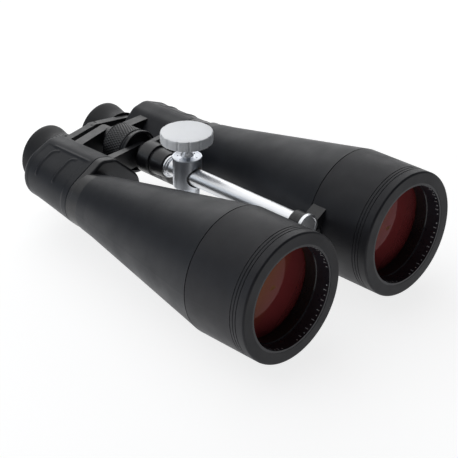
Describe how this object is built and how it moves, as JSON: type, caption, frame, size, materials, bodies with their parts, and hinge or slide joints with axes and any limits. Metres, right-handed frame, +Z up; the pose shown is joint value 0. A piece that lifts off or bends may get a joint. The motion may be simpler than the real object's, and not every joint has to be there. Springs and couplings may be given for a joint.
{
  "type": "astronomy binoculars",
  "caption": "Large Porro-prism binoculars with long tapered barrels on a centre rod, a focus wheel, folding hinge and a sliding tripod post with a clamp knob.",
  "frame": {"origin": "on the floor, under the middle of the object's bounding box", "axes": "+Y is the direction of sight, +X the user's right, +Z up"},
  "size_m": [0.2444, 0.3326, 0.1086],
  "materials": {
    "armour_rubber": "matte, finely grained",
    "black_alloy": "satin black anodised",
    "grey_alloy": "matte bead-blasted",
    "satin_alloy": "satin, turned",
    "bright_rod": "polished, bright",
    "bright_steel": "bright, turned",
    "brass": "turned",
    "black_plastic": "matte",
    "coated_glass": "ruby coated",
    "optical_glass": "polished"
  },
  "bodies": {
    "axle": {"axle_rod": "bright_rod", "rod_end_cap": "bright_rod", "hinge_cap": "bright_rod"},
    "right_half": {"right_baffle_tube": "black_plastic", "right_barrel_armour": "armour_rubber", "right_barrel_tube": "black_alloy", "right_crown_lens": "coated_glass", "right_flint_lens": "optical_glass", "right_front_bridge": "black_alloy", "right_front_cover": "black_alloy", "right_front_prism": "optical_glass", "right_rear_prism": "optical_glass", "right_guide_tube": "black_alloy", "right_housing_armour": "armour_rubber", "right_objective_cell": "black_alloy", "right_objective_sleeve": "armour_rubber", "right_prism_clips": "bright_steel", "right_prism_housing": "black_alloy", "right_prism_shelf": "black_alloy", "right_retaining_ring": "black_alloy", "rear_hinge_tube": "bright_steel"},
    "left_half": {"left_baffle_tube": "black_plastic", "left_barrel_armour": "armour_rubber", "left_barrel_tube": "black_alloy", "left_crown_lens": "coated_glass", "left_flint_lens": "optical_glass", "left_front_bridge": "black_alloy", "left_front_cover": "black_alloy", "left_front_prism": "optical_glass", "left_rear_prism": "optical_glass", "left_guide_tube": "black_alloy", "left_housing_armour": "armour_rubber", "left_objective_cell": "black_alloy", "left_objective_sleeve": "armour_rubber", "left_prism_clips": "bright_steel", "left_prism_housing": "black_alloy", "left_prism_shelf": "black_alloy", "left_retaining_ring": "black_alloy", "hinge_collar": "black_alloy"},
    "focus_wheel_body": {"focus_wheel": "black_plastic", "focus_nut": "brass"},
    "spindle_body": {"focus_spindle": "bright_steel", "bridge_cap": "black_plastic"},
    "left_eyepiece": {"left_eyepiece_arm": "grey_alloy", "left_ocular_tube": "black_alloy", "left_field_lens": "coated_glass", "left_eye_lens": "coated_glass", "left_eyecup": "armour_rubber"},
    "right_eyepiece": {"right_eyepiece_arm": "grey_alloy"},
    "right_ocular": {"right_ocular_tube": "black_alloy", "right_field_lens": "coated_glass", "right_eye_lens": "coated_glass", "right_eyecup": "armour_rubber"},
    "dioptre": {"dioptre_ring": "black_plastic"},
    "post_slider": {"liner_bush": "brass"},
    "post": {"post_block": "satin_alloy", "post_foot": "satin_alloy"},
    "clamp_pad_body": {"clamp_pad": "brass"},
    "clamp_knob": {"post_knob": "grey_alloy", "clamp_screw": "bright_steel"}
  },
  "joints": [
    {"name": "right_fold", "type": "hinge", "parent": "axle", "child": "right_half", "pos_m": [0, 0, 0.0695], "axis": [0, 1, 0], "range_deg": [-6, 13]},
    {"name": "left_fold", "type": "hinge", "parent": "axle", "child": "left_half", "pos_m": [0, 0, 0.0695], "axis": [0, 1, 0], "range_deg": [-13, 6]},
    {"name": "focus_turn", "type": "hinge", "parent": "axle", "child": "focus_wheel_body", "pos_m": [0, -0.09, 0.0695], "axis": [0, 1, 0], "range_deg": [-401, 51]},
    {"name": "spindle_slide", "type": "slide", "parent": "axle", "child": "spindle_body", "axis": [0, 1, 0], "range_m": [-0.008, 0.001]},
    {"name": "right_focus", "type": "slide", "parent": "right_half", "child": "right_eyepiece", "axis": [0, 1, 0], "range_m": [-0.0081, 0.0011]},
    {"name": "left_focus", "type": "slide", "parent": "left_half", "child": "left_eyepiece", "axis": [0, 1, 0], "range_m": [-0.0081, 0.0011]},
    {"name": "dioptre_turn", "type": "hinge", "parent": "right_eyepiece", "child": "dioptre", "pos_m": [0.034, -0.144, 0.0499], "axis": [0, 1, 0], "range_deg": [-61, 61]},
    {"name": "right_ocular_slide", "type": "slide", "parent": "right_eyepiece", "child": "right_ocular", "axis": [0, 1, 0], "range_m": [-0.001, 0.001]},
    {"name": "post_slide", "type": "slide", "parent": "axle", "child": "post_slider", "axis": [0, 1, 0], "range_m": [-0.004, 0.07]},
    {"name": "post_swing", "type": "hinge", "parent": "post_slider", "child": "post", "pos_m": [0, -0.01685, 0.0695], "axis": [0, 1, 0], "range_deg": [-8, 8]},
    {"name": "knob_turn", "type": "hinge", "parent": "clamp_pad_body", "child": "clamp_knob", "pos_m": [0, -0.01685, 0.09], "axis": [0, 0, 1], "range_deg": [-73, 577]},
    {"name": "clamp_slide", "type": "slide", "parent": "post", "child": "clamp_pad_body", "axis": [0, 0, 1], "range_m": [-0.00025, 0.002]}
  ],
  "couplings": [
    {"joint": "left_fold", "follows": "right_fold", "ratio": -1},
    {"joint": "focus_turn", "follows": "spindle_slide", "rad_per_m": 872.66},
    {"joint": "right_focus", "follows": "spindle_slide", "ratio": 1},
    {"joint": "left_focus", "follows": "spindle_slide", "ratio": 1},
    {"joint": "dioptre_turn", "follows": "right_ocular_slide", "rad_per_m": 1047.2},
    {"joint": "knob_turn", "follows": "clamp_slide", "rad_per_m": 5026.6}
  ]
}
